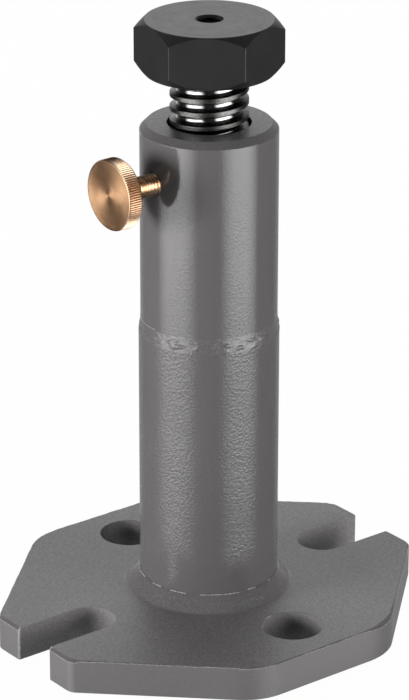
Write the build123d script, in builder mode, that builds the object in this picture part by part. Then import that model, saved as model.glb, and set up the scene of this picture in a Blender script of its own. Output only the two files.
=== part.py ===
from build123d import *
from math import sqrt
import os

# Machinist jack: a trapezoidal screw in a welded column on a slotted flange plate.
# The origin is on the spindle's axis, in the plane that the plate stands on.
# +Z is up, X runs through the two open slots and Y through the two round holes.
# All sizes are in millimetres and degrees.

# Base plate
plate_length = 159.0
plate_width = 138.0
plate_thickness = 13.0
plate_end_width = 44.0
plate_side_length = 59.0
plate_top_bevel = 0.8
side_corner_radius = 22.0
end_corner_radius = 5.0
slot_width = 18.6
slot_root_distance = 45.0
slot_mouth_radius = 1.0
bolt_hole_diameter = 22.0
bolt_hole_spacing = 98.6

# Column tube and the sleeve welded on top of it
tube_diameter = 50.8
tube_wall = 5.0
tube_top_height = 112.3
sleeve_diameter = 49.4
column_height = 191.5
sleeve_top_chamfer = 2.4
spigot_length = 9.0
spigot_clearance = 0.1
seam_groove_depth = 3.0
seam_groove_height = 6.4

# Fillet weld between tube and plate
base_weld_width = 5.1
base_weld_height = 5.5

# Trapezoidal thread of spindle and sleeve, drawn at its crest diameter
thread_diameter = 28.0
thread_depth = 2.75
thread_clearance = 0.25
nut_top_relief = 3.5
mouth_clearance = 1.25

# Spindle and its hexagon head
spindle_thread_length = 145.0
spindle_end_chamfer = 2.5
spindle_neck_width = 2.0
head_gap_at_rest = 18.6
hexagon_across_flats = 46.0
hexagon_height = 19.0
hexagon_face_inset = 0.15
hexagon_corner_drop = 3.5
hexagon_turn = 20.1
head_spigot_diameter = 18.0
head_spigot_length = 7.0
head_hole_diameter = 8.5
head_hole_depth = 10.0
head_hole_mouth_diameter = 10.0

# Stop washer and its screw under the spindle
running_gap = 0.3
stop_washer_edge_gap = 1.9
stop_washer_thickness = 5.0
stop_screw_diameter = 8.0
stop_screw_engagement = 16.0
stop_screw_hole_spare = 4.0
stop_screw_head_diameter = 13.0
stop_screw_head_height = 8.0
stop_screw_socket = 6.0
stop_screw_socket_depth = 4.0
thread_fit = 0.1
washer_bore_clearance = 0.5

# Thumb screw in the side of the sleeve, with its soft pad
thumb_screw_drop = 18.1
thumb_thread_diameter = 8.0
thumb_hole_clearance = 0.2
thumb_head_diameter = 25.5
thumb_head_thickness = 5.7
thumb_head_chamfer = 0.75
thumb_neck_length = 13.8
thumb_tip_chamfer = 0.8
pad_thickness = 3.0
pad_clearance = 0.1

# Places and sizes that follow from the values above
plate_half_length = plate_length / 2
plate_half_width = plate_width / 2
slot_arc_centre = slot_root_distance + slot_width / 2
tube_radius = tube_diameter / 2
tube_bore_radius = tube_radius - tube_wall
sleeve_radius = sleeve_diameter / 2
sleeve_spigot_radius = tube_bore_radius - spigot_clearance
sleeve_bottom = tube_top_height - spigot_length
seam_neck_radius = tube_radius - seam_groove_depth
seam_top_height = tube_top_height + seam_groove_height

crest_radius = thread_diameter / 2
neck_radius = crest_radius - thread_depth
nut_bore_radius = crest_radius + thread_clearance
nut_thread_top = column_height - nut_top_relief
nut_mouth_radius = crest_radius + mouth_clearance

head_bottom = column_height + head_gap_at_rest
head_top = head_bottom + hexagon_height
spindle_bottom = head_bottom - spindle_thread_length
washer_top = spindle_bottom - running_gap
washer_bottom = washer_top - stop_washer_thickness
stop_screw_head_top = washer_bottom - running_gap
stop_screw_head_bottom = stop_screw_head_top - stop_screw_head_height
stop_screw_radius = stop_screw_diameter / 2

thumb_screw_height = column_height - thumb_screw_drop
thumb_thread_radius = thumb_thread_diameter / 2
thumb_hole_radius = thumb_thread_radius + thumb_hole_clearance
thumb_head_radius = thumb_head_diameter / 2
thumb_head_inner_face = -(sleeve_radius + thumb_neck_length)
thumb_head_outer_face = thumb_head_inner_face - thumb_head_thickness
pad_inner_face = -(crest_radius + running_gap)
pad_outer_face = pad_inner_face - pad_thickness
thumb_tip = pad_outer_face - running_gap


# Base plate: a stretched octagon with open slots in its ends
with BuildPart() as base_plate:
    with BuildSketch(Plane.XY):
        with BuildLine():
            Polyline(
                (0, plate_half_width),
                (plate_side_length / 2, plate_half_width),
                (plate_half_length, plate_end_width / 2),
                (plate_half_length, 0),
            )
            mirror(about=Plane.YZ)
            mirror(about=Plane.XZ)
        make_face()
        side_corners = vertices().filter_by(lambda v: 1 < abs(v.X) < plate_side_length)
        fillet(side_corners, side_corner_radius)
        end_corners = vertices().filter_by(
            lambda v: abs(v.X) > plate_half_length - 0.01 and abs(v.Y) > slot_width / 2
        )
        fillet(end_corners, end_corner_radius)
    extrude(amount=plate_thickness)
    top_rim = faces().sort_by(Axis.Z)[-1].outer_wire().edges()
    chamfer(top_rim, plate_top_bevel)
    with BuildSketch(Plane.XY):
        with Locations((slot_arc_centre, 0), (-slot_arc_centre, 0)):
            Circle(slot_width / 2)
        slot_run = plate_half_length - slot_arc_centre
        with Locations((slot_arc_centre + slot_run / 2, 0), (-slot_arc_centre - slot_run / 2, 0)):
            Rectangle(slot_run, slot_width)
        with Locations((0, bolt_hole_spacing / 2), (0, -bolt_hole_spacing / 2)):
            Circle(bolt_hole_diameter / 2)
        Circle(tube_bore_radius)
    extrude(amount=plate_thickness, mode=Mode.SUBTRACT)
    mouth_corners = edges().filter_by(Axis.Z).filter_by(
        lambda e: abs(e.center().X) > plate_half_length - 0.01 and abs(e.center().Y) < slot_width
    )
    fillet(mouth_corners, slot_mouth_radius)
base_plate.part.label = "base_plate"

# Column tube: stands on the plate over its bore
with BuildPart() as column_tube:
    with BuildSketch(Plane.XZ):
        with BuildLine():
            Polyline(
                (tube_bore_radius, plate_thickness),
                (tube_radius, plate_thickness),
                (tube_radius, tube_top_height),
                (tube_bore_radius, tube_top_height),
                close=True,
            )
        make_face()
    revolve(axis=Axis.Z)
column_tube.part.label = "column_tube"

# Fillet weld round the foot of the tube
with BuildPart() as base_weld:
    with BuildSketch(Plane.XZ):
        with BuildLine():
            Polyline(
                (tube_radius, plate_thickness),
                (tube_radius + base_weld_width, plate_thickness),
                (tube_radius, plate_thickness + base_weld_height),
                close=True,
            )
        make_face()
    revolve(axis=Axis.Z)
base_weld.part.label = "base_weld"

# Weld that fills the groove between tube and sleeve
with BuildPart() as seam_weld:
    with BuildSketch(Plane.XZ):
        with BuildLine():
            Polyline(
                (seam_neck_radius, tube_top_height),
                (tube_radius, tube_top_height),
                (tube_radius, seam_top_height),
                (seam_neck_radius, seam_top_height),
                close=True,
            )
        make_face()
    revolve(axis=Axis.Z)
seam_weld.part.label = "seam_weld"

# Threaded sleeve: a thick nut whose spigot centres it in the tube
with BuildPart() as threaded_sleeve:
    with BuildSketch(Plane.XZ):
        with BuildLine():
            Polyline(
                (nut_bore_radius, sleeve_bottom),
                (sleeve_spigot_radius, sleeve_bottom),
                (sleeve_spigot_radius, tube_top_height),
                (seam_neck_radius, tube_top_height),
                (seam_neck_radius, seam_top_height),
                (sleeve_radius, seam_top_height),
                (sleeve_radius, column_height - sleeve_top_chamfer),
                (sleeve_radius - sleeve_top_chamfer, column_height),
                (nut_mouth_radius, column_height),
                (nut_mouth_radius, nut_thread_top),
                (nut_bore_radius, nut_thread_top),
                close=True,
            )
        make_face()
    revolve(axis=Axis.Z)
    with BuildSketch(Plane.YZ.offset(-sleeve_radius)):
        with Locations((0, thumb_screw_height)):
            Circle(thumb_hole_radius)
    extrude(amount=sleeve_radius, mode=Mode.SUBTRACT)
threaded_sleeve.part.label = "threaded_sleeve"

# Spindle: a rod threaded over its whole length, with a neck under the head
with BuildPart() as spindle:
    with BuildSketch(Plane.XZ):
        with BuildLine():
            neck_bottom = head_bottom - spindle_neck_width
            Polyline(
                (0, spindle_bottom),
                (crest_radius - spindle_end_chamfer, spindle_bottom),
                (crest_radius, spindle_bottom + spindle_end_chamfer),
                (crest_radius, neck_bottom),
                (neck_radius, neck_bottom),
                (neck_radius, head_bottom),
                (head_spigot_diameter / 2, head_bottom),
                (head_spigot_diameter / 2, head_bottom + head_spigot_length),
                (0, head_bottom + head_spigot_length),
                close=True,
            )
        make_face()
    revolve(axis=Axis.Z)
    with BuildSketch(Plane.XY.offset(spindle_bottom)):
        Circle(stop_screw_radius + thread_fit)
    extrude(amount=stop_screw_engagement + stop_screw_hole_spare, mode=Mode.SUBTRACT)
spindle.part.label = "spindle"

# Hexagon head: pressed on the spindle's spigot, bored and tapped for a rest or a swivel foot
with BuildPart() as hex_head:
    with BuildSketch(Plane.XY.offset(head_bottom)):
        RegularPolygon(hexagon_across_flats / 2, 6, major_radius=False, rotation=hexagon_turn)
    extrude(amount=hexagon_height)
    with BuildSketch(Plane.XZ):
        with BuildLine():
            face_radius = hexagon_across_flats / 2 - hexagon_face_inset
            corner_radius = hexagon_across_flats / sqrt(3)
            Polyline(
                (0, head_bottom),
                (face_radius, head_bottom),
                (corner_radius, head_bottom + hexagon_corner_drop),
                (corner_radius, head_top - hexagon_corner_drop),
                (face_radius, head_top),
                (0, head_top),
                close=True,
            )
        make_face()
    revolve(axis=Axis.Z, mode=Mode.INTERSECT)
    with BuildSketch(Plane.XY.offset(head_bottom)):
        Circle(head_spigot_diameter / 2)
    extrude(amount=head_spigot_length, mode=Mode.SUBTRACT)
    with Locations((0, 0, head_top)):
        CounterSinkHole(
            head_hole_diameter / 2,
            head_hole_mouth_diameter / 2,
            depth=head_hole_depth,
            counter_sink_angle=90,
        )
hex_head.part.label = "hex_head"

# Stop washer: too wide for the sleeve's bore, so the spindle can't be wound out
with BuildPart() as stop_washer:
    with BuildSketch(Plane.XY.offset(washer_bottom)):
        Circle(tube_bore_radius - stop_washer_edge_gap)
        Circle(stop_screw_radius + washer_bore_clearance, mode=Mode.SUBTRACT)
    extrude(amount=stop_washer_thickness)
stop_washer.part.label = "stop_washer"

# Stop screw: a socket cap screw in the spindle's lower end
with BuildPart() as stop_screw:
    with BuildSketch(Plane.XY.offset(stop_screw_head_bottom)):
        Circle(stop_screw_head_diameter / 2)
    extrude(amount=stop_screw_head_height)
    with BuildSketch(Plane.XY.offset(stop_screw_head_top)):
        Circle(stop_screw_radius)
    extrude(amount=spindle_bottom + stop_screw_engagement - stop_screw_head_top)
    with BuildSketch(Plane.XY.offset(stop_screw_head_bottom)):
        RegularPolygon(stop_screw_socket / 2, 6, major_radius=False)
    extrude(amount=stop_screw_socket_depth, mode=Mode.SUBTRACT)
stop_screw.part.label = "stop_screw"

# Thumb screw: turned in one piece, its head wide enough for a thumb and finger
with BuildPart() as thumb_screw:
    with BuildSketch(Plane.XZ):
        with BuildLine():
            rim = thumb_screw_height + thumb_head_radius
            thread_edge = thumb_screw_height + thumb_thread_radius
            Polyline(
                (thumb_head_outer_face, thumb_screw_height),
                (thumb_head_outer_face, rim - thumb_head_chamfer),
                (thumb_head_outer_face + thumb_head_chamfer, rim),
                (thumb_head_inner_face, rim),
                (thumb_head_inner_face, thread_edge),
                (thumb_tip - thumb_tip_chamfer, thread_edge),
                (thumb_tip, thread_edge - thumb_tip_chamfer),
                (thumb_tip, thumb_screw_height),
                close=True,
            )
        make_face()
    revolve(axis=Axis((0, 0, thumb_screw_height), (1, 0, 0)))
thumb_screw.part.label = "thumb_screw"

# Pressure pad: loose in the thumb screw's hole, so that the brass tip spares the thread
with BuildPart() as pressure_pad:
    with BuildSketch(Plane.YZ.offset(pad_outer_face)):
        with Locations((0, thumb_screw_height)):
            Circle(thumb_hole_radius - pad_clearance)
    extrude(amount=pad_thickness)
pressure_pad.part.label = "pressure_pad"

os.makedirs("parts", exist_ok=True)
for piece in (
    base_plate,
    column_tube,
    base_weld,
    seam_weld,
    threaded_sleeve,
    spindle,
    hex_head,
    stop_washer,
    stop_screw,
    thumb_screw,
    pressure_pad,
):
    export_step(piece.part, f"parts/{piece.part.label}.step")

print("spindle travel up:", round(sleeve_bottom - washer_top - running_gap, 3))
print("spindle travel down:", round(head_bottom - column_height - running_gap, 3))
print("overall height:", round(head_top, 3))
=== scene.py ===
"""Machinist jack: a trapezoidal screw in a welded column on a slotted flange plate.

Lengths are written in millimetres and turned to metres by MM. The spindle's axis
is Z, the open slots lie along X and the bolt holes along Y.
"""
import math

import bmesh
import bpy
from mathutils import Matrix, Vector, noise
from mathutils.geometry import tessellate_polygon


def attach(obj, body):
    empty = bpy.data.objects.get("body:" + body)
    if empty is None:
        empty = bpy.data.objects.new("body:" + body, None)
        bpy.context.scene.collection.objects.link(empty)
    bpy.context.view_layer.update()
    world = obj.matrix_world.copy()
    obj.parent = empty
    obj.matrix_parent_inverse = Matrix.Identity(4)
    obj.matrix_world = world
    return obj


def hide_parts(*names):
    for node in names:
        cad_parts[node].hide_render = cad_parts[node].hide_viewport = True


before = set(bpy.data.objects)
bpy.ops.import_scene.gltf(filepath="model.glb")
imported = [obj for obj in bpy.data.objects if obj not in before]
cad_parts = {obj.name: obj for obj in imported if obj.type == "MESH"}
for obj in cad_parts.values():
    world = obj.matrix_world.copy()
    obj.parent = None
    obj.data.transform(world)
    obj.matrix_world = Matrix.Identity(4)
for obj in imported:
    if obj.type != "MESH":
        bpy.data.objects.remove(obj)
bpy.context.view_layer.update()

MM = 0.001
FULL_TURN = 2 * math.pi

# Flange plate
plate_half_length = 79.5
plate_half_width = 69.0
plate_thickness = 13.0
end_half_width = 22.0
side_half_length = 29.5
side_corner_radius = 22.0
end_corner_radius = 5.0
slot_half_width = 9.3
slot_arc_centre = 54.3
slot_mouth_radius = 1.0
end_bevel = 1.05
bolt_hole_radius = 11.0
bolt_hole_offset = 49.3

# Column
tube_radius = 25.4
tube_bore = 20.4
tube_top = 112.3
sleeve_radius = 24.7
sleeve_chamfer = 2.4
sleeve_spigot = 20.3
sleeve_bottom = 103.3
column_top = 191.5
seam_top = 118.7
seam_neck = 22.4
weld_toe = 30.5
weld_top = 18.6

# Spindle and nut thread
thread_pitch = 5.0
thread_crest = 14.0
thread_root = 11.25
thread_runout = 2.0
nut_crest = 11.5
nut_root = 14.25
nut_thread_top = 188.0
nut_mouth = 14.95
spindle_bottom = 65.1
spindle_end_radius = 11.5
spindle_bore = 4.1
spindle_bore_depth = 20.0
spigot_radius = 8.95
spigot_length = 6.9

# Hexagon head
head_bottom = 210.1
head_top = 229.1
head_half_flats = 23.0
head_corner_turn = 20.1
head_face_radius = 22.85
head_corner_drop = 3.5
head_bore = 9.0
head_bore_depth = 7.0
top_thread_pitch = 1.5
top_thread_crest = 4.25
top_thread_root = 4.95
top_thread_start = 0.75
top_thread_depth = 9.0
top_hole_depth = 10.0

# Stop washer and cap screw, under the spindle
washer_bore = 4.5
washer_radius = 18.5
washer_bottom = 59.8
washer_top = 64.8
cap_radius = 6.5
cap_bottom = 51.5
cap_top = 59.5
cap_shank = 4.0
cap_shank_end = 81.1
socket_half_flats = 3.0
socket_top = 55.5

# Thumb screw and its pad, along -X
thumb_height = 173.4
thumb_outer_face = -44.2
thumb_inner_face = -38.5
thumb_tip = -17.6
thumb_tip_radius = 3.2
thumb_neck = 3.6
thumb_head_radius = 12.75
thumb_thread_pitch = 1.25
thumb_teeth = 94
thumb_hole_radius = 4.2
thumb_hole_middle = -20.0
thumb_hole_length = 20.0
pad_radius = 4.1
pad_outer_face = -17.3
pad_inner_face = -14.3


# Shapes
def new_object(name, data):
    """Puts a mesh, lamp or camera in the scene."""
    made = bpy.data.objects.new(name, data)
    bpy.context.scene.collection.objects.link(made)
    return made


def mesh_piece(name, bm, body, slot, materials, *nodes, sharp=32):
    """Turns a finished bmesh into a piece that stands for CAD nodes and rides on a body.

    Edges that bend by more than the sharp angle, in degrees, are not smoothed.
    """
    bmesh.ops.remove_doubles(bm, verts=bm.verts, dist=2e-7)
    bmesh.ops.dissolve_degenerate(bm, dist=1e-7, edges=bm.edges)
    bmesh.ops.recalc_face_normals(bm, faces=bm.faces)
    mesh = bpy.data.meshes.new(name)
    bm.to_mesh(mesh)
    bm.free()
    mesh.shade_smooth()
    mesh.set_sharp_from_angle(angle=math.radians(sharp))
    for material in materials:
        mesh.materials.append(material)
    piece = new_object(name, mesh)
    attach(piece, body)
    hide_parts(*nodes)
    return piece


def spun_piece(name, angles, profile, body, slot, materials, node,
               finish=None, along_x=None, sharp=32):
    """A piece skinned over the profiles (radius, height) found at each angle round Z.

    With along_x the profiles stand round X, at that height. The finish tells the
    material of each span between two points of the profile.
    """
    bm = bmesh.new()
    columns = []
    for angle in angles:
        column = []
        for radius, height in profile(angle):
            across, up = radius * math.cos(angle), radius * math.sin(angle)
            if along_x is None:
                place = (across, up, height)
            else:
                place = (height, across, along_x + up)
            column.append(bm.verts.new(Vector(place) * MM))
        columns.append(column)
    for angle, left, right in zip(angles, columns, columns[1:]):
        for span in range(len(left) - 1):
            face = bm.faces.new((left[span], right[span], right[span + 1], left[span + 1]))
            if finish:
                face.material_index = materials.index(finish(span, angle))
    return mesh_piece(name, bm, body, slot, materials, node, sharp=sharp)


def even_angles(steps):
    """Angles once round, with the first one again at the end."""
    return [FULL_TURN * i / steps for i in range(steps + 1)]


def rounded(before, here, after, radius, steps, lead=0.0):
    """Points of a corner's round, and with a lead one more at that distance on each side."""
    back, ahead = (before - here).normalized(), (after - here).normalized()
    half = back.angle(ahead) / 2
    run = radius / math.tan(half)
    centre = here + (back + ahead).normalized() * (radius / math.sin(half))
    start, end = here + back * run - centre, here + ahead * run - centre
    arc = [centre + start.slerp(end, k / steps).normalized() * radius for k in range(steps + 1)]
    if lead:
        arc = [here + back * (run + lead)] + arc + [here + ahead * (run + lead)]
    return arc


# Every corner that eased() rounds becomes an arc of these steps, with a point more on each side
ease_steps = 4
ease_lead = 0.1
ease_points = ease_steps + 3


def eased(points):
    """Rounds the corners of a (radius, height) outline that carry a third value, their radius.

    The leads before and after each round keep the long spans flat to the eye.
    """
    result = []
    for i, point in enumerate(points):
        if len(point) == 2:
            result.append(point)
            continue
        before, here, after = (Vector(p[:2]) for p in points[i - 1:i + 2])
        for spot in rounded(before, here, after, point[2], ease_steps, ease_lead):
            result.append(tuple(spot))
    return result


def hexagon(half_flats, turn, corner_radius, per_side):
    """Angles round a hexagon turned by some degrees, and the radius at each.

    Its corners are rounded, and each side has points at so many equal steps.
    """
    reach = (half_flats - corner_radius) / math.cos(math.pi / 6)
    outline = []
    for k in range(6):
        middle = math.radians(turn + 60 * k)
        later = middle + math.radians(60)
        centre = Vector((math.cos(middle), math.sin(middle))) * reach
        next_centre = Vector((math.cos(later), math.sin(later))) * reach
        for swing in (-30, -15, 0, 15, 30):
            facing = middle + math.radians(swing)
            outline.append(centre + Vector((math.cos(facing), math.sin(facing))) * corner_radius)
        normal = outline[-1] - centre
        for j in range(1, per_side):
            outline.append((centre + normal).lerp(next_centre + normal, j / per_side))
    angles = []
    for spot in outline:
        angle = math.atan2(spot.y, spot.x)
        if angles and angle < angles[0]:
            angle += FULL_TURN
        angles.append(angle)
    angles.append(angles[0] + FULL_TURN)
    lengths = [spot.length for spot in outline + outline[:1]]
    return angles, dict(zip(angles, lengths))


def thread_points(angle, pitch, ridge, bottom, top, shift=0.0):
    """One side of a right-hand thread at this angle: the ridge's points, repeated and cut off."""
    rise = pitch * angle / FULL_TURN + shift
    first = math.floor((bottom - shift) / pitch) - 2
    count = math.ceil((top - bottom) / pitch) + 4
    raw = []
    for k in range(first, first + count):
        for offset, radius in ridge:
            raw.append((radius, rise + k * pitch + offset))
    low_end = (radius_at(raw, bottom), bottom)
    high_end = (radius_at(raw, top), top)
    result = []
    for point in raw:
        if point[1] < bottom:
            point = low_end
        elif point[1] > top:
            point = high_end
        result.append(point)
    return result


def radius_at(raw, height):
    """Radius of an uncut thread's side at a height."""
    for (r0, z0), (r1, z1) in zip(raw, raw[1:]):
        if z0 <= height <= z1 and z1 > z0:
            return r0 + (r1 - r0) * (height - z0) / (z1 - z0)
    raise ValueError("the thread doesn't reach " + str(height))


def worn(x, y, z, size, seed=0.0):
    """Smooth unevenness from -1 to 1, with lumps of about the given size in mm."""
    return noise.noise(Vector((x, y, z)) / size + Vector((seed, seed, seed)))


# Camera: from the photograph's vanishing lines and the real sizes
camera_place = Vector((-0.71306, -0.91690, 0.58348))
camera_heading = math.radians(37.8714)
camera_fall = math.radians(22.1515)
camera_roll = math.radians(0.0794)
view_ahead = Vector((
    math.sin(camera_heading) * math.cos(camera_fall),
    math.cos(camera_heading) * math.cos(camera_fall),
    -math.sin(camera_fall),
))
level_right = Vector((math.cos(camera_heading), -math.sin(camera_heading), 0))
level_up = level_right.cross(view_ahead)
view_right = level_right * math.cos(camera_roll) + level_up * math.sin(camera_roll)
view_up = level_up * math.cos(camera_roll) - level_right * math.sin(camera_roll)
lens = bpy.data.cameras.new("view_of_the_jack")
lens.lens = 178.852
lens.sensor_width = 36.0
lens.shift_x = -0.00637
lens.shift_y = -0.02255
lens.clip_start = 0.05
lens.clip_end = 20.0
camera = new_object("view_of_the_jack", lens)
camera.matrix_world = Matrix((
    (view_right.x, view_up.x, -view_ahead.x, camera_place.x),
    (view_right.y, view_up.y, -view_ahead.y, camera_place.y),
    (view_right.z, view_up.z, -view_ahead.z, camera_place.z),
    (0, 0, 0, 1),
))
bpy.context.scene.camera = camera
bpy.context.scene.view_settings.view_transform = "Standard"


# Materials
def shade(code):
    """An sRGB hex colour as linear red, green, blue and alpha."""
    parts = [int(code[i:i + 2], 16) / 255 for i in (0, 2, 4)]
    linear = [c / 12.92 if c <= 0.04045 else ((c + 0.055) / 1.055) ** 2.4 for c in parts]
    return (*linear, 1.0)


def add(tree, kind, inputs=None, **settings):
    """Adds a node, sets it up and links or sets its inputs."""
    made = tree.nodes.new(kind)
    for key, value in settings.items():
        setattr(made, key, value)
    for socket, value in (inputs or {}).items():
        if isinstance(value, bpy.types.NodeSocket):
            tree.links.new(value, made.inputs[socket])
        else:
            made.inputs[socket].default_value = value
    return made


def new_material(name):
    """A material with its shader and the place on the piece, ready for its patterns."""
    material = bpy.data.materials.new(name)
    material.use_nodes = True
    tree = material.node_tree
    shader = tree.nodes["Principled BSDF"]
    place = add(tree, "ShaderNodeTexCoord").outputs["Object"]
    return material, tree, shader, place


def per_metre(size):
    """A pattern's scale from the size of one repeat in millimetres."""
    return 1.0 / (size * MM)


# Width of the spray gun's passes, where the coat turns thicker or thinner
spray_width = 35.0


def enamel(name, colour, dark, light, roughness, peel, grain):
    """Grey enamel sprayed on steel: a gloss broken by patches of orange peel, and by dust.

    Peel and grain are each a size and a depth in mm. The dust is drawn half a
    millimetre wide or more, since real dust is too fine to show.
    """
    material, tree, shader, place = new_material(name)
    peel_size, peel_depth = peel
    grain_size, grain_depth = grain
    cloud = add(tree, "ShaderNodeTexNoise", {
        "Vector": place, "Scale": per_metre(spray_width), "Detail": 3.0,
    })
    speck = add(tree, "ShaderNodeTexNoise", {
        "Vector": place, "Scale": per_metre(grain_size), "Detail": 1.0,
    })
    tint = add(tree, "ShaderNodeValToRGB", {"Fac": cloud.outputs["Fac"]})
    tint.color_ramp.elements[0].position = 0.35
    tint.color_ramp.elements[0].color = shade(dark)
    tint.color_ramp.elements[1].position = 0.65
    tint.color_ramp.elements[1].color = shade(colour)
    fleck = add(tree, "ShaderNodeMapRange", {
        "Value": speck.outputs["Fac"], "From Min": 0.38, "From Max": 0.64,
    })
    mixed = add(tree, "ShaderNodeMix", {
        "Factor": fleck.outputs["Result"], "A": tint.outputs["Color"], "B": shade(light),
    }, data_type="RGBA")
    tree.links.new(mixed.outputs["Result"], shader.inputs["Base Color"])
    gloss = add(tree, "ShaderNodeMapRange", {
        "Value": cloud.outputs["Fac"], "From Min": 0.3, "From Max": 0.7,
        "To Min": roughness * 0.9, "To Max": roughness * 1.12,
    })
    tree.links.new(gloss.outputs["Result"], shader.inputs["Roughness"])
    orange_peel = add(tree, "ShaderNodeTexNoise", {
        "Vector": place, "Scale": per_metre(peel_size), "Detail": 1.5, "Distortion": 0.3,
    })
    patches = add(tree, "ShaderNodeMapRange", {
        "Value": cloud.outputs["Fac"], "From Min": 0.38, "From Max": 0.6, "To Min": 0.45,
    })
    uneven = add(tree, "ShaderNodeMath", {
        0: orange_peel.outputs["Fac"], 1: patches.outputs["Result"],
    }, operation="MULTIPLY")
    skin = add(tree, "ShaderNodeBump", {
        "Height": uneven.outputs[0], "Distance": peel_depth * MM, "Strength": 1.0,
    })
    dust = add(tree, "ShaderNodeBump", {
        "Height": speck.outputs["Fac"], "Distance": grain_depth * MM, "Strength": 1.0,
        "Normal": skin.outputs["Normal"],
    })
    tree.links.new(dust.outputs["Normal"], shader.inputs["Normal"])
    shader.inputs["IOR"].default_value = 1.5
    return material


def turned_metal(name, colour, dark, roughness, stain, groove,
                 along="Z", fan=0.0, streaks=0.0, metallic=1.0):
    """Metal cut in rings round an axis, with stains of a size in mm.

    Groove is the rings' width and depth in mm. They are drawn 0.4 mm wide or more,
    since a real feed of 0.1 mm is too fine to show. A fan spreads each highlight
    across the rings, and streaks carry the rings into the colour.
    """
    material, tree, shader, place = new_material(name)
    groove_width, groove_depth = groove
    if along == "X":
        centre = (0, 0, thumb_height * MM)
        moved = add(tree, "ShaderNodeVectorMath", {0: place, 1: centre}, operation="SUBTRACT")
        place = moved.outputs[0]
    parts = add(tree, "ShaderNodeSeparateXYZ", {"Vector": place})
    across = [parts.outputs[axis] for axis in "XYZ" if axis != along]
    flat = add(tree, "ShaderNodeCombineXYZ", {"X": across[0], "Y": across[1]})
    reach = add(tree, "ShaderNodeVectorMath", {0: flat.outputs["Vector"]}, operation="LENGTH")
    rings = add(tree, "ShaderNodeCombineXYZ", {
        "X": reach.outputs["Value"], "Y": parts.outputs[along],
    })
    lines = add(tree, "ShaderNodeTexNoise", {
        "Vector": rings.outputs["Vector"], "Scale": per_metre(groove_width), "Detail": 2.0,
    })
    stains = add(tree, "ShaderNodeTexNoise", {
        "Vector": place, "Scale": per_metre(stain), "Detail": 3.0,
    })
    mottle = add(tree, "ShaderNodeMix", {
        "Factor": streaks, "A": stains.outputs["Fac"], "B": lines.outputs["Fac"],
    }, data_type="FLOAT")
    share = add(tree, "ShaderNodeMapRange", {
        "Value": mottle.outputs["Result"], "From Min": 0.35, "From Max": 0.65,
    })
    tint = add(tree, "ShaderNodeMix", {
        "Factor": share.outputs["Result"], "A": shade(dark), "B": shade(colour),
    }, data_type="RGBA")
    tree.links.new(tint.outputs["Result"], shader.inputs["Base Color"])
    gloss = add(tree, "ShaderNodeMapRange", {
        "Value": lines.outputs["Fac"], "From Min": 0.3, "From Max": 0.7,
        "To Min": roughness * 0.92, "To Max": roughness * 1.08,
    })
    tree.links.new(gloss.outputs["Result"], shader.inputs["Roughness"])
    cut = add(tree, "ShaderNodeBump", {
        "Height": lines.outputs["Fac"], "Distance": groove_depth * MM, "Strength": 1.0,
    })
    tree.links.new(cut.outputs["Normal"], shader.inputs["Normal"])
    shader.inputs["Metallic"].default_value = metallic
    if fan:
        shader.inputs["Anisotropic"].default_value = fan
        shader.inputs["Anisotropic Rotation"].default_value = 0.25
        round_axis = add(tree, "ShaderNodeTangent", direction_type="RADIAL", axis=along)
        tree.links.new(round_axis.outputs["Tangent"], shader.inputs["Tangent"])
    return material


# Enamel on rolled plate: satin, with a coarse grain from the rolled skin under it
plate_enamel = enamel(
    "satin_enamel_on_rolled_plate", "646263", "605e5f", "757374",
    roughness=0.42, peel=(2.2, 0.02), grain=(0.8, 0.1),
)
# Enamel on the plate's cut edges: smoother than the top
edge_enamel = enamel(
    "satin_enamel_on_cut_edge", "666465", "636162", "6b696a",
    roughness=0.4, peel=(2.2, 0.02), grain=(0.5, 0.015),
)
# Enamel in the slots and holes: thin over the cutter's marks, so these walls are dull and grainy
cut_enamel = enamel(
    "thin_enamel_in_milled_slots", "6e6c6d", "686667", "7c7a7b",
    roughness=0.55, peel=(2.2, 0.02), grain=(0.7, 0.06),
)
# Enamel on ground bevels and chamfers: painted darker than the faces beside them, as painted shade,
# so that the edge reads as a line
bevel_enamel_painted_shade = enamel(
    "darker_enamel_on_bevel_painted_shade", "545253", "4f4d4e", "5e5c5d",
    roughness=0.5, peel=(1.2, 0.03), grain=(0.6, 0.012),
)
# Enamel on sharp edges: painted pale here and there, as wear and painted highlight
wear_and_painted_highlight_enamel = enamel(
    "enamel_edge_wear_and_painted_highlight", "8a8889", "6b696a", "b4b2b3",
    roughness=0.35, peel=(1.2, 0.03), grain=(0.6, 0.02),
)
# Enamel on drawn tube: thick and glossy, with orange peel about 1 mm across
tube_enamel = enamel(
    "gloss_enamel_on_drawn_tube", "605e5f", "5d5b5c", "615f60",
    roughness=0.17, peel=(0.9, 0.13), grain=(0.5, 0.004),
)
# Enamel on the turned sleeve: glossier still, with less orange peel
sleeve_enamel = enamel(
    "gloss_enamel_on_turned_sleeve", "605e5f", "5d5b5c", "615f60",
    roughness=0.13, peel=(0.85, 0.044), grain=(0.5, 0.003),
)
# Enamel on the sleeve's turned end: satin and even, so that it has no bands of light, and painted
# darker than the side as painted shade
end_enamel_painted_shade = enamel(
    "satin_enamel_on_turned_end_painted_shade", "565455", "4f4d4e", "6c6a6b",
    roughness=0.33, peel=(1.5, 0.02), grain=(1.1, 0.16),
)
# Enamel over a weld bead: glossy, with the fine ripples under it
weld_enamel = enamel(
    "gloss_enamel_on_weld_bead", "5f5d5e", "585657", "676566",
    roughness=0.2, peel=(0.9, 0.14), grain=(0.5, 0.02),
)
# The sleeve's own thread: a dull film painted near black, painted shade that keeps the gap round
# the spindle black
thread_painted_shade = enamel(
    "internal_thread_painted_shade", "1c1c1d", "161617", "1f1f20",
    roughness=0.5, peel=(1.5, 0.02), grain=(0.5, 0.01),
)
# Black oxide on milled flats: nearly black, a soft even sheen
milled_black = turned_metal(
    "black_oxide_on_milled_steel", "1d1d1e", "19191a",
    roughness=0.44, stain=9, groove=(0.5, 0.002), metallic=0.0,
)
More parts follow.
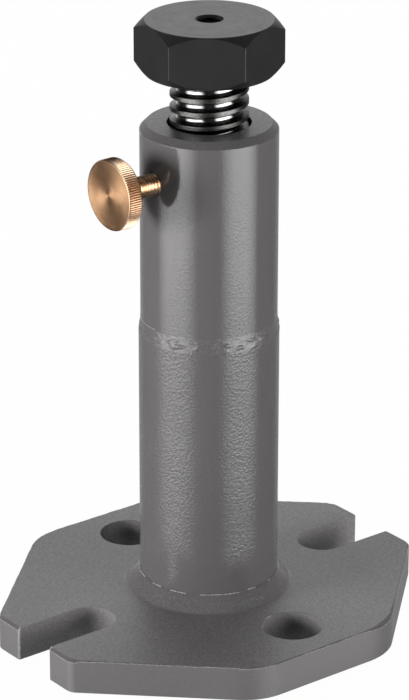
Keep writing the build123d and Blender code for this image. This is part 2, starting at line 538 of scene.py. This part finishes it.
# Black oxide on the turned end: the tool's rings lighten it in faint circles
turned_black = turned_metal(
    "black_oxide_on_turned_steel", "545455", "2a2a2c",
    roughness=0.3, stain=5, groove=(1.5, 0.0004), streaks=0.6,
)
# Root of the whirled steel thread: polished, so it mirrors the softboxes
root_steel = turned_metal(
    "bright_steel_thread_root", "a8a8a7", "8c8c8b",
    roughness=0.14, stain=1.2, groove=(0.4, 0.004),
)
# Flanks of the steel thread: the same steel painted dark, as painted shade
flank_steel_painted_shade = turned_metal(
    "steel_thread_flank_painted_shade", "5a5a5a", "3a3a3a",
    roughness=0.3, stain=1.2, groove=(0.4, 0.004),
)
# Crest of the steel thread: dull, streaked along the turn
crest_steel = turned_metal(
    "bright_steel_thread_crest", "7e7e7c", "2c2c2c",
    roughness=0.34, stain=0.5, groove=(0.4, 0.02), streaks=0.6,
)
# Brass faced on the lathe: warm, its rings fan the highlight out to a bow tie
turned_brass = turned_metal(
    "brass_turned_face", "cfa580", "b8906e",
    roughness=0.48, stain=5, groove=(0.6, 0.0008), along="X", fan=0.62,
)
# Brass pressed by the knurling wheel: paler than the face, its highlights broken by the teeth
knurled_brass = turned_metal(
    "brass_pressed_knurl", "e4c5a8", "ceac8e",
    roughness=0.34, stain=1.5, groove=(0.5, 0.001), along="X",
)
# Roots of knurl and thread: painted dark brown and dull, painted shade with some grime, so that a
# dark line edges every tooth and turn
root_brass_grime_and_painted_shade = turned_metal(
    "brass_roots_grime_and_painted_shade", "6b482f", "573a26",
    roughness=0.5, stain=1.5, groove=(0.5, 0.001), along="X",
)
# Brass cut by the die: painted paler than the face, as painted light, with a bright line along each
# turn
thread_brass_painted_light = turned_metal(
    "brass_die_cut_thread_painted_light", "f8dcc2", "e6c4a4",
    roughness=0.28, stain=1.5, groove=(0.5, 0.001), along="X",
)
# The head's back, parted off: painted dark as painted shade, so that its mirror image in the
# sleeve's gloss is dull and dark
back_brass_painted_shade = turned_metal(
    "brass_back_painted_shade", "564b42", "4a4039",
    roughness=0.5, stain=3, groove=(0.6, 0.002), along="X",
)
# Brass rod for the pad: yellower than the screw and a little stained
pad_brass = turned_metal(
    "brass_sawn_rod_pad", "c9a063", "b08a52",
    roughness=0.35, stain=3, groove=(0.4, 0.004), along="X",
)
# Turned steel of the washer, left plain: light grey, with a fan of light round the axis
plain_steel = turned_metal(
    "plain_steel_turned_washer", "a9a9a8", "8f8f8e",
    roughness=0.3, stain=4, groove=(0.4, 0.004), fan=0.5,
)
# Black oxide on the forged cap screw: dark grey and even, with a faint gloss
black_screw = turned_metal(
    "black_oxide_on_forged_screw", "2c2c2d", "252526",
    roughness=0.38, stain=3, groove=(0.4, 0.004),
)

# Flange plate: flame-cut outline, ground edge, sharp slots. The outline's points stand about one
# outline step apart, and each round has its own number of steps
outline_step = 1.2
corner_steps = 10
mouth_steps = 6
slot_steps = 32


def plate_outline():
    """Points round the plate, each with its outward direction."""
    half = [
        (plate_half_length, end_half_width, end_corner_radius),
        (side_half_length, plate_half_width, side_corner_radius),
        (-side_half_length, plate_half_width, side_corner_radius),
        (-plate_half_length, end_half_width, end_corner_radius),
        (-plate_half_length, slot_half_width, slot_mouth_radius),
        (-slot_arc_centre, slot_half_width, 0),
        (-slot_arc_centre, -slot_half_width, 0),
        (-plate_half_length, -slot_half_width, slot_mouth_radius),
    ]
    corners = half + [(-x, -y, radius) for x, y, radius in half]
    line = []
    for i, (x, y, radius) in enumerate(corners):
        before = Vector(corners[i - 1][:2])
        after = Vector(corners[(i + 1) % len(corners)][:2])
        if radius:
            steps = mouth_steps if radius == slot_mouth_radius else corner_steps
            line += rounded(before, Vector((x, y)), after, radius, steps)
        elif x * y < 0:
            # The first of the two points between which the slot's end is round
            line += slot_end(math.copysign(1, x))
    dense = []
    for here, after in zip(line, line[1:] + line[:1]):
        pieces = max(1, round((after - here).length / outline_step))
        dense += [here.lerp(after, k / pieces) for k in range(pieces)]
    points = []
    for i, here in enumerate(dense):
        run = dense[(i + 1) % len(dense)] - dense[i - 1]
        points.append((here, Vector((run.y, -run.x)).normalized()))
    return points


def slot_end(side):
    """Points of the round end of the slot on one side."""
    arc = []
    for k in range(slot_steps + 1):
        turn = math.pi / 2 - math.pi * k / slot_steps
        arc.append(Vector((
            side * (slot_arc_centre - slot_half_width * math.cos(turn)),
            -side * slot_half_width * math.sin(turn),
        )))
    return arc


# The hand-ground bevel along the sides: its usual and limiting widths, and its heaviest place
end_margin = 2
bevel_width = 0.42
bevel_least = 0.15
bevel_most = 1.9
heavy_extra = 0.95
heavy_x = 30
heavy_y = -66.5
heavy_spread = 60


def ground_bevel(x, y):
    """Width of the bevel: even on the ends, uneven along the sides, heavy at one corner."""
    if abs(x) > plate_half_length - end_margin:
        return end_bevel
    wave = worn(x, y, 0, 9, 3.1) * 0.3 + worn(x, y, 0, 1.6, 7.7) * 0.24
    heavy = heavy_extra * math.exp(-((x - heavy_x) ** 2 + (y - heavy_y) ** 2) / heavy_spread)
    return min(bevel_most, max(bevel_least, bevel_width + wave + heavy))


# The part of a slot mouth's corner that is painted pale, as wear and painted highlight, from the
# slot's wall and from the end
pale_mouth_from = 0.05
pale_mouth_to = 0.6
pale_mouth_reach = 0.8

# Small eases where the edge meets the underside
underside_ease = 0.35
underside_ease_height = 0.3


def plate_edge():
    """Columns up the plate's edge and slots, and the finish of each column's spans.

    In and beside the slots the top edge stays sharp. Elsewhere it is ground.
    """
    columns = []
    finishes = []
    for here, outward in plate_outline():
        past_wall = abs(here.y) - slot_half_width
        from_end = plate_half_length - abs(here.x)
        # Pale paint on the slot mouths' corners and on the crisp top edge is painted highlight and
        # wear; the bevel's darker paint is painted shade
        if pale_mouth_from < past_wall < pale_mouth_to and from_end < pale_mouth_reach:
            finishes.append((wear_and_painted_highlight_enamel,) * 4)
        else:
            wall = cut_enamel if past_wall < pale_mouth_from else edge_enamel
            finishes.append((wall, wall, wear_and_painted_highlight_enamel, bevel_enamel_painted_shade))
        if abs(here.y) < slot_half_width + slot_mouth_radius * 0.9:
            bevel = max(0.1, end_bevel - from_end)
            reach = min(abs(here.x), plate_half_length - end_bevel)
            top = Vector((math.copysign(reach, here.x), here.y)) - outward * 0.1
        else:
            bevel = ground_bevel(here.x, here.y)
            top = here - outward * bevel
        crisp = min(0.1, bevel * 0.3)
        columns.append([
            (here - outward * underside_ease, 0.0),
            (here, underside_ease_height),
            (here, plate_thickness - bevel - crisp),
            (here.lerp(top, crisp / bevel), plate_thickness - bevel + crisp * 0.4),
            (top, plate_thickness),
        ])
    return columns, finishes


# Holes: a flare at each end, and the cutter's feed marks, drawn coarser than they are to show
hole_steps = 96
underside_flare = 0.3
rim_flare = 0.12
rim_depth = 0.16
feed_start = 0.4
feed_pitch = 0.6
feed_depth = 0.12
feed_count = 21


def plate_hole(x, y, radius):
    """Columns up a hole's wall, and the finish of each column's spans."""
    columns = []
    finishes = []
    centre = Vector((x, y))
    for angle in even_angles(hole_steps)[:-1]:
        away = Vector((math.cos(angle), math.sin(angle)))
        column = [(centre + away * (radius + underside_flare), 0.0)]
        for k in range(feed_count):
            wall = radius + feed_depth * (k % 2)
            column.append((centre + away * wall, feed_start + feed_pitch * k))
        column.append((centre + away * radius, plate_thickness - rim_depth))
        column.append((centre + away * (radius + rim_flare), plate_thickness))
        columns.append(column)
        # The rim is pale in patches, painted highlight and wear, and elsewhere has the bevel's
        # darker paint, painted shade
        pale_edge = worn(x + away.x * radius, y + away.y * radius, 0, 7, 2.6) > 0.05
        rim = wear_and_painted_highlight_enamel if pale_edge else bevel_enamel_painted_shade
        finishes.append((cut_enamel,) * (feed_count + 1) + (rim,))
    return columns, finishes


plate_materials = [plate_enamel, edge_enamel, bevel_enamel_painted_shade, wear_and_painted_highlight_enamel, cut_enamel]
plate_holes = [
    (0, bolt_hole_offset, bolt_hole_radius), (0, -bolt_hole_offset, bolt_hole_radius),
    (0, 0, tube_bore),
]


def build_plate():
    """The walls of edge and holes, closed by the plate's underside and top."""
    bm = bmesh.new()
    walls = []
    for columns, finishes in [plate_edge()] + [plate_hole(*hole) for hole in plate_holes]:
        rows = []
        for ring in zip(*columns):
            rows.append([bm.verts.new(Vector((*place, height)) * MM) for place, height in ring])
        for span, (lower, upper) in enumerate(zip(rows, rows[1:])):
            for i in range(len(lower)):
                j = (i + 1) % len(lower)
                face = bm.faces.new((lower[i], lower[j], upper[j], upper[i]))
                face.material_index = plate_materials.index(finishes[i][span])
        walls.append(rows)
    for end in (0, -1):
        loops = [rows[end] for rows in walls]
        corners = [vert for loop in loops for vert in loop]
        for triangle in tessellate_polygon([[vert.co for vert in loop] for loop in loops]):
            bm.faces.new([corners[k] for k in triangle])
    return bm


mesh_piece(
    "flange_plate", build_plate(), "column", "body_paint", plate_materials, "base_plate", sharp=28,
)

# Column tube: bore, ends and the sprayed outside
column_steps = 192
tube_profile = [
    (tube_bore, plate_thickness), (tube_radius, plate_thickness),
    (tube_radius, tube_top), (tube_bore, tube_top), (tube_bore, plate_thickness),
]
spun_piece(
    "drawn_tube", even_angles(column_steps), lambda angle: tube_profile,
    "column", "body_paint", [tube_enamel], "column_tube",
)

# Fillet weld at the foot: a flat bead with patches of crescent ripples, a raised upper toe, a thin
# flare of metal over the plate and a lump where it closes, whose width is in radians
weld_steps = 540
weld_rows = 18
weld_middle = 28
ripple_pitch = 2.0
ripple_height = 0.07
close_angle = math.radians(142)
close_width = 0.22


def foot_weld(angle):
    """Once round the bead's section at this angle."""
    x, y = math.cos(angle) * weld_middle, math.sin(angle) * weld_middle
    close = math.exp(-((angle - close_angle) / close_width) ** 2)
    toe = weld_toe - 0.4 + worn(x, y, 0, 4.5, 1.7) * 0.25 + close * 0.6
    top = weld_top + worn(x, y, 5, 6, 4.4) * 0.25 + close * 0.4
    points = [(tube_radius - 0.4, plate_thickness), (toe + 0.5, plate_thickness)]
    for k in range(1, weld_rows):
        part = k / weld_rows
        hump = math.sin(part * math.pi)
        along = angle * weld_middle + hump * 1.8
        crescent = math.sin(along * FULL_TURN / ripple_pitch) * ripple_height
        patch = min(1.0, max(0.0, worn(x, y, part * 6, 6, 8.8) * 4))
        rough = worn(x, y, part * 7, 1.5, 9.3) * 0.11
        bow = 0.1 + (crescent * patch + rough + close * 0.4) * hump
        flare = 0.25 * math.exp(-part * 12)
        points.append((
            toe + (tube_radius + 0.35 - toe) * part + bow * 0.74 + flare,
            plate_thickness + (top - plate_thickness) * part + bow * 0.67 - flare,
        ))
    points.append((tube_radius + 0.42, top - 0.1))
    points.append((tube_radius + 0.25, top + 0.2))
    points.append((tube_radius - 0.4, top + 0.1))
    return points + [points[0]]


def foot_finish(span, angle):
    """The upper toe is painted pale in places, as wear and painted highlight."""
    x, y = math.cos(angle) * weld_middle, math.sin(angle) * weld_middle
    pale_toe = worn(x, y, 0, 9, 6.2) > 0.0
    return wear_and_painted_highlight_enamel if span == weld_rows + 1 and pale_toe else weld_enamel


spun_piece(
    "foot_weld", even_angles(weld_steps), foot_weld,
    "column", "body_paint", [weld_enamel, wear_and_painted_highlight_enamel], "base_weld",
    finish=foot_finish, sharp=60,
)

# Seam weld: runs from the wider tube to the sleeve, ground nearly flush, with a few lumps left.
# The step up to the sleeve is highest at one angle, in radians, and painted pale round it, as wear
# and painted highlight
seam_steps = 300
seam_rows = 17
seam_middle = 25
step_angle = 3.0
step_spread = 0.45
pale_step_start = 2.6
pale_step_end = 3.15


def seam_bead(angle):
    """Once round the bead's section at this angle."""
    x, y = math.cos(angle) * seam_middle, math.sin(angle) * seam_middle
    points = [(seam_neck, tube_top), (tube_radius - 0.02, tube_top)]
    for k in range(1, seam_rows - 1):
        part = k / seam_rows
        height = tube_top + (seam_top - tube_top) * part
        slope = part * part * (3 - 2 * part)
        radius = tube_radius + (sleeve_radius - tube_radius) * slope
        lump = max(0.0, worn(x, y, height * 2.2, 3.6, 2.2)) * 0.75
        rough = worn(x, y, height * 2, 1.5, 5.5) * 0.12
        raised = radius + (lump + rough) * math.sin(part * math.pi)
        points.append((min(raised, tube_radius + 0.12), height))
    step = 0.05 + 0.12 * math.exp(-((angle - step_angle) / step_spread) ** 2)
    points.append((sleeve_radius + step, seam_top - 0.15))
    points.append((sleeve_radius, seam_top))
    points.append((seam_neck, seam_top))
    return points + [points[0]]


def seam_finish(span, angle):
    """The step up to the sleeve is painted pale on one side only, as wear and painted highlight."""
    pale_edge = span == seam_rows and pale_step_start < angle < pale_step_end
    return wear_and_painted_highlight_enamel if pale_edge else weld_enamel


spun_piece(
    "seam_weld_bead", even_angles(seam_steps), seam_bead,
    "column", "body_paint", [weld_enamel, wear_and_painted_highlight_enamel], "seam_weld",
    finish=seam_finish, sharp=60,
)

# Trapezoidal thread 28 x 5: a ridge with 15 degree flanks and slightly broken corners
screw_ridge = [
    (-1.86, thread_root), (-1.60, thread_root + 0.12), (-1.50, thread_root + 0.48),
    (-0.90, thread_crest - 0.22), (-0.74, thread_crest),
    (0.74, thread_crest), (0.90, thread_crest - 0.22),
    (1.50, thread_root + 0.48), (1.60, thread_root + 0.12), (1.86, thread_root),
]
# The flanks' darker steel is painted shade
screw_finishes = [
    root_steel, root_steel, flank_steel_painted_shade, flank_steel_painted_shade, crest_steel,
    flank_steel_painted_shade, flank_steel_painted_shade, root_steel, root_steel, root_steel,
]
nut_ridge = [(-1.5, nut_root), (-0.76, nut_crest), (0.76, nut_crest), (1.5, nut_root)]
spindle_steps = 96
bore_spans = 3


def spindle_profile(angle):
    """The bore in the lower end, the thread and the spigot under the hexagon."""
    bore_top = spindle_bottom + spindle_bore_depth
    thread_top = head_bottom - thread_runout
    points = [(0, bore_top), (spindle_bore, bore_top), (spindle_bore, spindle_bottom)]
    for radius, height in thread_points(
            angle, thread_pitch, screw_ridge, spindle_bottom, thread_top, spindle_bottom):
        points.append((min(radius, spindle_end_radius + height - spindle_bottom), height))
    return points + [
        (thread_root, thread_top), (thread_root, head_bottom), (spigot_radius, head_bottom),
        (spigot_radius, head_bottom + spigot_length), (0, head_bottom + spigot_length),
    ]


def thread_finish(span, angle):
    """Bright root, flanks darkened with painted shade and dull crest, in turn up the screw."""
    if span < bore_spans:
        return root_steel
    return screw_finishes[(span - bore_spans) % len(screw_ridge)]


spun_piece(
    "trapezoidal_spindle", even_angles(spindle_steps), spindle_profile,
    "screw", "bright_steel", [root_steel, crest_steel, flank_steel_painted_shade], "spindle",
    finish=thread_finish, sharp=40,
)

# Threaded sleeve: nut thread, turned and chamfered end, glossy side, spigot in the tube
sleeve_end = eased([
    (nut_mouth, nut_thread_top), (nut_mouth, column_top, 0.25),
    (sleeve_radius - sleeve_chamfer, column_top, 0.3),
    (sleeve_radius, column_top - sleeve_chamfer, 0.45), (sleeve_radius, seam_top),
])
nut_spans = len(thread_points(0.0, thread_pitch, nut_ridge, sleeve_bottom, nut_thread_top))
end_start = nut_spans + 2
chamfer_start = nut_spans + 2 * ease_points - 1
side_start = nut_spans + len(sleeve_end) - ease_points


def sleeve_profile(angle):
    """Up the nut thread, over the sleeve's end, down its side and back round the spigot."""
    points = thread_points(
        angle, thread_pitch, nut_ridge, sleeve_bottom, nut_thread_top,
        spindle_bottom + thread_pitch / 2,
    )
    return points + sleeve_end + [
        (seam_neck, seam_top), (seam_neck, tube_top), (sleeve_spigot, tube_top),
        (sleeve_spigot, sleeve_bottom), points[0],
    ]


def sleeve_finish(span, angle):
    """Near black up to the mouth, darker satin over the end and darker still on its chamfer, all
    painted shade, then gloss down the side.
    """
    if span < end_start:
        return thread_painted_shade
    if span < chamfer_start:
        return end_enamel_painted_shade
    return bevel_enamel_painted_shade if span < side_start else sleeve_enamel


sleeve = spun_piece(
    "threaded_sleeve_nut", even_angles(column_steps), sleeve_profile,
    "column", "body_paint", [sleeve_enamel, thread_painted_shade, end_enamel_painted_shade, bevel_enamel_painted_shade],
    "threaded_sleeve", finish=sleeve_finish,
)


def drill_sideways(piece, radius, middle, length, height):
    """Cuts a round hole through a piece along X."""
    bm = bmesh.new()
    bmesh.ops.create_cone(
        bm, cap_ends=True, segments=48, radius1=radius * MM, radius2=radius * MM,
        depth=length * MM,
        matrix=Matrix.Translation((middle * MM, 0, height * MM))
        @ Matrix.Rotation(math.pi / 2, 4, "Y"),
    )
    mesh = bpy.data.meshes.new("drill")
    bm.to_mesh(mesh)
    bm.free()
    tool = new_object("drill", mesh)
    cut = piece.modifiers.new("drilled_hole", "BOOLEAN")
    cut.object = tool
    cut.solver = "EXACT"
    bpy.context.view_layer.update()
    graph = bpy.context.evaluated_depsgraph_get()
    drilled = bpy.data.meshes.new_from_object(piece.evaluated_get(graph))
    piece.modifiers.clear()
    piece.data = drilled
    bpy.data.objects.remove(tool)


drill_sideways(sleeve, thumb_hole_radius, thumb_hole_middle, thumb_hole_length, thumb_height)

# Hexagon head: milled flats, turned and chamfered ends, tapped hole
head_corner_radius = 0.4
head_flat_steps = 14
head_angles, head_radii = hexagon(
    head_half_flats, head_corner_turn, head_corner_radius, head_flat_steps,
)
head_corner = head_half_flats / math.cos(math.pi / 6)
head_slope = head_corner_drop / (head_corner - head_face_radius)
top_ridge = [
    (-0.6, top_thread_root), (-0.1, top_thread_crest), (0.1, top_thread_crest),
    (0.6, top_thread_root),
]
top_face_span = 10


def head_profile(angle):
    """The spigot's bore, both chamfers and the side between them, the top and the tapped hole.

    Every edge is eased by about 0.1 mm.
    """
    radius = head_radii[angle]
    drop = (radius - head_face_radius) * head_slope
    points = [
        (0, head_bottom + head_bore_depth), (head_bore, head_bottom + head_bore_depth),
        (head_bore, head_bottom),
        (head_face_radius - 0.12, head_bottom), (head_face_radius + 0.1, head_bottom + 0.1),
        (radius - 0.1, head_bottom + drop - 0.03), (radius, head_bottom + drop + 0.12),
        (radius, head_top - drop - 0.12), (radius - 0.1, head_top - drop + 0.03),
        (head_face_radius + 0.1, head_top - 0.1), (head_face_radius - 0.12, head_top),
        (top_thread_root + 0.1, head_top), (top_thread_root, head_top - 0.05),
    ]
    points += reversed(thread_points(
        angle, top_thread_pitch, top_ridge, head_top - top_thread_depth,
        head_top - top_thread_start,
    ))
    return points + [
        (top_thread_crest, head_top - top_hole_depth), (0, head_top - top_hole_depth),
    ]


def head_finish(span, angle):
    """The top is turned, all else has the milled flats' finish."""
    return turned_black if span == top_face_span else milled_black


spun_piece(
    "hexagon_head", head_angles, head_profile,
    "screw", "black_oxide_steel", [milled_black, turned_black], "hex_head",
    finish=head_finish, sharp=24,
)

# Stop washer
washer_steps = 96
washer_round = 0.4
washer_profile = eased([
    (washer_bore, washer_bottom), (washer_radius, washer_bottom, washer_round),
    (washer_radius, washer_top, washer_round), (washer_bore, washer_top),
    (washer_bore, washer_bottom),
])
spun_piece(
    "turned_stop_washer", even_angles(washer_steps), lambda angle: washer_profile,
    "stop_ring", "plain_steel", [plain_steel], "stop_washer",
)

# Socket cap screw
socket_corner_radius = 0.15
socket_flat_steps = 8
socket_angles, socket_radii = hexagon(
    socket_half_flats, 0.0, socket_corner_radius, socket_flat_steps,
)
cap_outline = eased([
    (5.0, cap_bottom), (cap_radius, cap_bottom, 0.9), (cap_radius, cap_top, 0.3),
    (cap_shank, cap_top), (cap_shank, cap_shank_end - 0.8, 0.5), (0, cap_shank_end),
])


def cap_screw(angle):
    """The hexagon socket at this angle, then the screw's outside."""
    radius = socket_radii[angle]
    return [
        (0, socket_top), (radius, socket_top), (radius, cap_bottom + 0.3),
        (radius + 0.3, cap_bottom),
    ] + cap_outline


spun_piece(
    "socket_cap_screw", socket_angles, cap_screw,
    "screw", "black_oxide_steel", [black_screw], "stop_screw",
)

# Thumb screw: turned head with a straight knurl, M8 thread up to the head. The head's outline is
# given as radius and distance in from its outer or inner face, and the knurl cuts into its rim
front_round = [
    (0, 0), (11.8, 0), (12.0, 0), (12.3, 0.05), (12.5, 0.17), (12.65, 0.32),
    (thumb_head_radius, 0.5), (thumb_head_radius, 0.6),
]
back_round = [
    (thumb_head_radius, 0.9), (thumb_head_radius, 0.75), (12.42, 0.4), (12.1, 0), (thumb_neck, 0),
]
knurl_cuts = [0.0, 0.14, 0.36, 0.42, 0.28, 0.04]
root_steps = (2, 3)
metric_ridge = [(-0.52, 3.34), (-0.08, 4.0), (0.08, 4.0), (0.52, 3.34)]
face_spans = 2
rim_spans = range(3, 11)
thumb_thread_start = 13


def tooth_step(angle):
    """Which of a tooth's steps this angle is at."""
    return round(angle / FULL_TURN * thumb_teeth * len(knurl_cuts)) % len(knurl_cuts)


def thumb_profile(angle):
    """The head at this step of a tooth, then the thread to the tip."""
    rim = thumb_head_radius - knurl_cuts[tooth_step(angle)]
    points = [(min(rim, radius), thumb_outer_face + inset) for radius, inset in front_round]
    points += [(min(rim, radius), thumb_inner_face - inset) for radius, inset in back_round]
    for radius, height in thread_points(
            angle, thumb_thread_pitch, metric_ridge, thumb_inner_face, thumb_tip):
        points.append((min(radius, thumb_tip_radius + (thumb_tip - height)), height))
    return points + [(0, thumb_tip)]


def thumb_finish(span, angle):
    """Turned face, knurled rim with its rounds, back in painted shade, then the cut thread in
    painted light, its roots and the knurl's in painted shade.
    """
    if span < face_spans:
        return turned_brass
    if span >= thumb_thread_start:
        turn_span = (span - thumb_thread_start) % len(metric_ridge)
        return root_brass_grime_and_painted_shade if turn_span == len(metric_ridge) - 1 else thread_brass_painted_light
    if span in rim_spans:
        return root_brass_grime_and_painted_shade if tooth_step(angle) in root_steps else knurled_brass
    return knurled_brass if span == face_spans else back_brass_painted_shade


spun_piece(
    "knurled_thumb_screw", even_angles(thumb_teeth * len(knurl_cuts)), thumb_profile,
    "clamp", "brass", [turned_brass, knurled_brass, back_brass_painted_shade, thread_brass_painted_light, root_brass_grime_and_painted_shade],
    "thumb_screw", finish=thumb_finish, along_x=thumb_height, sharp=30,
)

# Pressure pad
pad_steps = 64
pad_round = 0.4
pad_profile = eased([
    (0, pad_outer_face), (pad_radius, pad_outer_face, pad_round),
    (pad_radius, pad_inner_face, pad_round), (0, pad_inner_face),
])
spun_piece(
    "brass_pressure_pad", even_angles(pad_steps), lambda angle: pad_profile,
    "pad", "pad_brass", [pad_brass], "pressure_pad", along_x=thumb_height,
)

# Studio, in metres: a pale floor, two tall softboxes beside the camera and a white wall behind
floor_reach = 4
floor_level = -0.0001
lamp_aim = Vector((0, 0, 0.08))
white = shade("ffffff")

floor_mesh = bpy.data.meshes.new("pale_floor")
floor_corners = [
    (x * floor_reach, y * floor_reach, floor_level) for x, y in ((-1, -1), (1, -1), (1, 1), (-1, 1))
]
floor_mesh.from_pydata(floor_corners, [], [(0, 1, 2, 3)])
floor = new_object("pale_floor", floor_mesh)

# Paper of the floor: matt. The camera sees it white with a trace of its shadow, and metal sees
# through it to the studio
paper = bpy.data.materials.new("white_paper_sweep")
paper.use_nodes = True
paper_tree = paper.node_tree
paper_rays = add(paper_tree, "ShaderNodeLightPath")
matt = add(paper_tree, "ShaderNodeBsdfDiffuse", {"Color": shade("e6e6e6")})
glow = add(paper_tree, "ShaderNodeEmission", {"Color": white, "Strength": 1.0})
clear = add(paper_tree, "ShaderNodeBsdfTransparent")
whiteness = add(paper_tree, "ShaderNodeMath", {
    0: paper_rays.outputs["Is Camera Ray"], 1: 0.98,
}, operation="MULTIPLY")
whitened = add(paper_tree, "ShaderNodeMixShader", {
    "Fac": whiteness.outputs[0], 1: matt.outputs[0], 2: glow.outputs[0],
})
ground = add(paper_tree, "ShaderNodeMixShader", {
    "Fac": paper_rays.outputs["Is Glossy Ray"], 1: whitened.outputs[0], 2: clear.outputs[0],
})
paper_tree.links.new(ground.outputs[0], paper_tree.nodes["Material Output"].inputs["Surface"])
floor_mesh.materials.append(paper)

# World: plain light, a white backdrop for the camera, and the studio's panels for metal and gloss
world = bpy.data.worlds.new("studio")
world.use_nodes = True
bpy.context.scene.world = world
sky = world.node_tree
sky.nodes.clear()
sky_rays = add(sky, "ShaderNodeLightPath")
heading = add(sky, "ShaderNodeTexCoord").outputs["Generated"]
flattened = add(sky, "ShaderNodeVectorMath", {0: heading, 1: (1, 1, 0)}, operation="MULTIPLY")
level = add(sky, "ShaderNodeVectorMath", {0: flattened.outputs[0]}, operation="NORMALIZE")
heading_parts = add(sky, "ShaderNodeSeparateXYZ", {"Vector": heading})
lift = add(sky, "ShaderNodeMapRange", {
    "Value": heading_parts.outputs["Z"], "From Min": -1.0, "From Max": 1.0,
})


def panel(facing, half_angle, core, strength, heights):
    """A bright panel round the object, fading from its core to its half angle and by height."""
    turned = add(sky, "ShaderNodeVectorMath", {
        0: level.outputs[0], 1: facing,
    }, operation="DOT_PRODUCT")
    breadth = add(sky, "ShaderNodeMapRange", {
        "Value": turned.outputs["Value"], "To Max": strength,
        "From Min": math.cos(math.radians(half_angle)), "From Max": math.cos(math.radians(core)),
    })
    rise = add(sky, "ShaderNodeValToRGB", {"Fac": lift.outputs["Result"]})
    for height, share in heights:
        stop = rise.color_ramp.elements.new((height + 1) / 2)
        stop.color = (share, share, share, 1.0)
    for unused in (rise.color_ramp.elements[-1], rise.color_ramp.elements[0]):
        rise.color_ramp.elements.remove(unused)
    return add(sky, "ShaderNodeMath", {
        0: breadth.outputs["Result"], 1: rise.outputs["Color"],
    }, operation="MULTIPLY").outputs[0]


# Heights are sines of the angle above the level, each with its share of the panel's strength
box_heights = [
    (-0.8, 0.0), (-0.6, 0.1), (-0.44, 0.06), (-0.4, 0.2), (-0.36, 0.84), (-0.31, 1.0),
    (-0.24, 0.78), (-0.1, 1.0), (0.15, 1.0), (0.35, 0.25), (0.6, 0.0),
]
wall_heights = [(-0.3, 0.34), (0.05, 0.9), (0.6, 0.9)]
panels = [
    panel((-0.997, 0.072, 0), half_angle=36.5, core=12, strength=5.6, heights=box_heights),
    panel((0.264, -0.965, 0), half_angle=34.5, core=10, strength=6.5, heights=box_heights),
    panel((0.614, 0.789, 0), half_angle=48, core=6, strength=1.1, heights=wall_heights),
]
mirrored_strength = 0.04
for bright in panels:
    mirrored_strength = add(sky, "ShaderNodeMath", {
        0: mirrored_strength, 1: bright,
    }, operation="ADD").outputs[0]
mirrored = add(sky, "ShaderNodeBackground", {"Color": white, "Strength": mirrored_strength})
plain = add(sky, "ShaderNodeBackground", {"Color": white, "Strength": 0.12})
backdrop = add(sky, "ShaderNodeBackground", {"Color": white, "Strength": 1.0})
lit = add(sky, "ShaderNodeMixShader", {
    "Fac": sky_rays.outputs["Is Glossy Ray"], 1: plain.outputs[0], 2: mirrored.outputs[0],
})
seen = add(sky, "ShaderNodeMixShader", {
    "Fac": sky_rays.outputs["Is Camera Ray"], 1: lit.outputs[0], 2: backdrop.outputs[0],
})
add(sky, "ShaderNodeOutputWorld", {"Surface": seen.outputs[0]})


def softbox(name, place, width, height, power):
    """A lamp aimed low on the column. Gloss mirrors the panels in its stead."""
    lamp = bpy.data.lights.new(name, "AREA")
    lamp.shape = "RECTANGLE"
    lamp.size = width
    lamp.size_y = height
    lamp.energy = power
    box = new_object(name, lamp)
    box.location = place
    box.rotation_euler = (lamp_aim - Vector(place)).to_track_quat("-Z", "Y").to_euler()
    box.visible_glossy = False


softbox("left_softbox", place=(-1.25, 0.28, 0.27), width=0.5, height=0.45, power=20.0)
softbox("right_softbox", place=(0.54, -1.18, 0.27), width=0.7, height=0.6, power=14.2)
softbox("back_softbox", place=(0.60, 0.75, 1.05), width=1.0, height=0.8, power=9.6)
